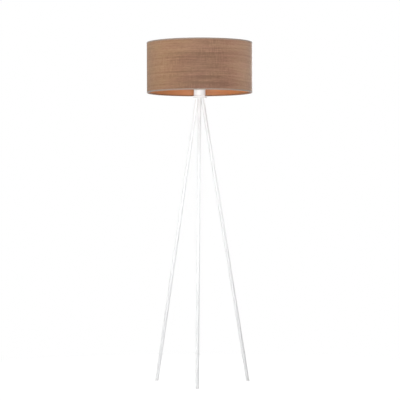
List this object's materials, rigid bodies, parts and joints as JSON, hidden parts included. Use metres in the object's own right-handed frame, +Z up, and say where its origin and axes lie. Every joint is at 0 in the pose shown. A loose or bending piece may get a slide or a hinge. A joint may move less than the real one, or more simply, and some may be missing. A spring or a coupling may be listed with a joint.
{
  "type": "tripod floor lamp",
  "caption": "Floor lamp on a splayed tripod of slim white tube legs, with a wide drum shade of wood veneer over a white hub cup and a screw-in bulb.",
  "frame": {"origin": "on the floor, under the centre of the shade and the hub", "axes": "+Z up along the lamp's axis; -Y towards the front leg; +X to the right as seen from the front"},
  "size_m": [0.5007, 0.5125, 1.62],
  "materials": {
    "white_enamel": "satin white powder coat on steel",
    "zinc_steel": "bright zinc",
    "grey_plastic": "moulded pale grey",
    "white_plastic": "moulded white",
    "white_ceramic": "glazed",
    "brass": "plain",
    "nickel": "nickel plate",
    "black_glass": "dark vitrite",
    "aluminium": "white solder mask",
    "opal_globe": "opal",
    "veneer": "matt wood veneer with level grain",
    "amber_lining": "translucent amber film",
    "white_wire": "white dipped wire",
    "binding_tape": "taupe edge tape"
  },
  "bodies": {
    "stand": {"leg_tube_front": "white_enamel", "leg_tube_right": "white_enamel", "leg_tube_left": "white_enamel", "leg_insert_front": "zinc_steel", "leg_insert_right": "zinc_steel", "leg_insert_left": "zinc_steel", "foot_glide_front": "grey_plastic", "foot_glide_right": "grey_plastic", "foot_glide_left": "grey_plastic", "hub_plate": "white_enamel", "leg_bolts": "zinc_steel", "threaded_nipple": "zinc_steel", "cable_bush": "white_plastic", "cup_washer": "zinc_steel", "lock_nut": "zinc_steel", "holder_cup": "white_enamel", "holder_cap": "white_plastic", "holder_sleeve": "white_plastic", "contact_block": "white_ceramic", "terminal_screws": "brass", "screw_shell": "brass", "centre_contact": "brass", "lower_shade_ring": "white_plastic", "upper_shade_ring": "white_plastic"},
    "shade": {"shade_veneer": "veneer", "shade_lining": "amber_lining", "bottom_wire_ring": "white_wire", "top_wire_ring": "white_wire", "bottom_binding": "binding_tape", "top_binding": "binding_tape", "shade_carrier": "white_wire"},
    "bulb_lift": {"bulb_tip": "brass"},
    "bulb": {"bulb_insulator": "black_glass", "bulb_cap": "nickel", "bulb_housing": "white_plastic", "led_board": "aluminium", "bulb_globe": "opal_globe"}
  },
  "joints": [
    {"name": "shade_turn", "type": "hinge", "parent": "stand", "child": "shade", "pos_m": [0, 0, 1.421], "axis": [0, 0, 1], "continuous": true},
    {"name": "bulb_rise", "type": "slide", "parent": "stand", "child": "bulb_lift", "axis": [0, 0, 1], "range_m": [0, 0.02]},
    {"name": "bulb_turn", "type": "hinge", "parent": "bulb_lift", "child": "bulb", "pos_m": [0, 0, 1.428], "axis": [0, 0, 1], "range_deg": [0, 1980]}
  ],
  "couplings": [
    {"joint": "bulb_rise", "follows": "bulb_turn", "m_per_rad": 0.00057757}
  ]
}
